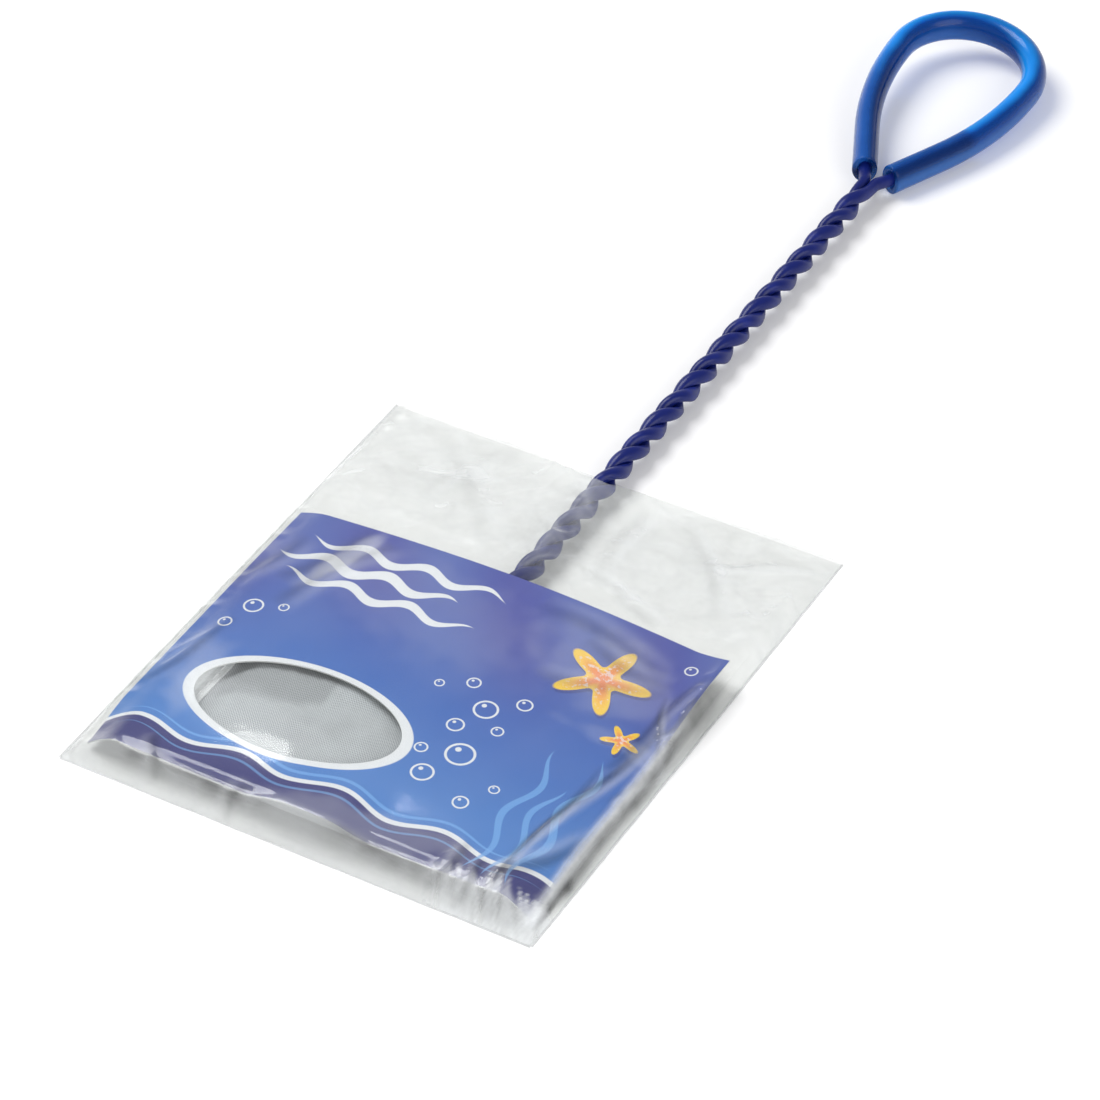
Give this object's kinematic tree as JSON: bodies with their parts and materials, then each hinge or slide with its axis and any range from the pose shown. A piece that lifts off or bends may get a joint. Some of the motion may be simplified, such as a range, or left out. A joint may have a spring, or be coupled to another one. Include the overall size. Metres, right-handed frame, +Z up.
{
  "type": "aquarium hand net",
  "caption": "Small aquarium hand net in its flat retail pack: twisted coated-wire handle with a tube grip loop, folded mesh pouch, printed card and clear open-mouthed bag.",
  "frame": {"origin": "on the resting surface, under the centre of the hoop", "axes": "+Y along the handle towards the grip loop, +Z up from the resting surface, +X across the hoop to the right"},
  "size_m": [0.127, 0.3705, 0.0139],
  "materials": {
    "coated_wire": "satin navy vinyl coat on steel wire",
    "grip_tube": "glossy translucent blue PVC tube",
    "hem_band": "white woven band",
    "thread": "white sewing thread",
    "mesh": "fine white knitted mesh",
    "printed_card": "coated printed card",
    "film": "clear crinkled polypropylene film",
    "weld": "clear welded film edge"
  },
  "bodies": {
    "net": {"frame_wire": "coated_wire", "grip_tube": "grip_tube", "net_hem": "hem_band", "hem_stitches": "thread", "net_pouch": "mesh"},
    "card": {"insert_card": "printed_card"},
    "bag": {"bag_back_film": "film", "bag_front_film": "film", "bag_left_weld": "weld", "bag_right_weld": "weld", "bag_bottom_fold": "weld"}
  },
  "joints": [
    {"name": "bag_pull", "type": "slide", "parent": "net", "child": "bag", "axis": [0, -1, 0], "range_m": [0, 0.155], "deforming": ["bag_front_film"]},
    {"name": "card_pull", "type": "slide", "parent": "net", "child": "card", "axis": [0, 1, 0], "range_m": [0, 0.155]}
  ]
}
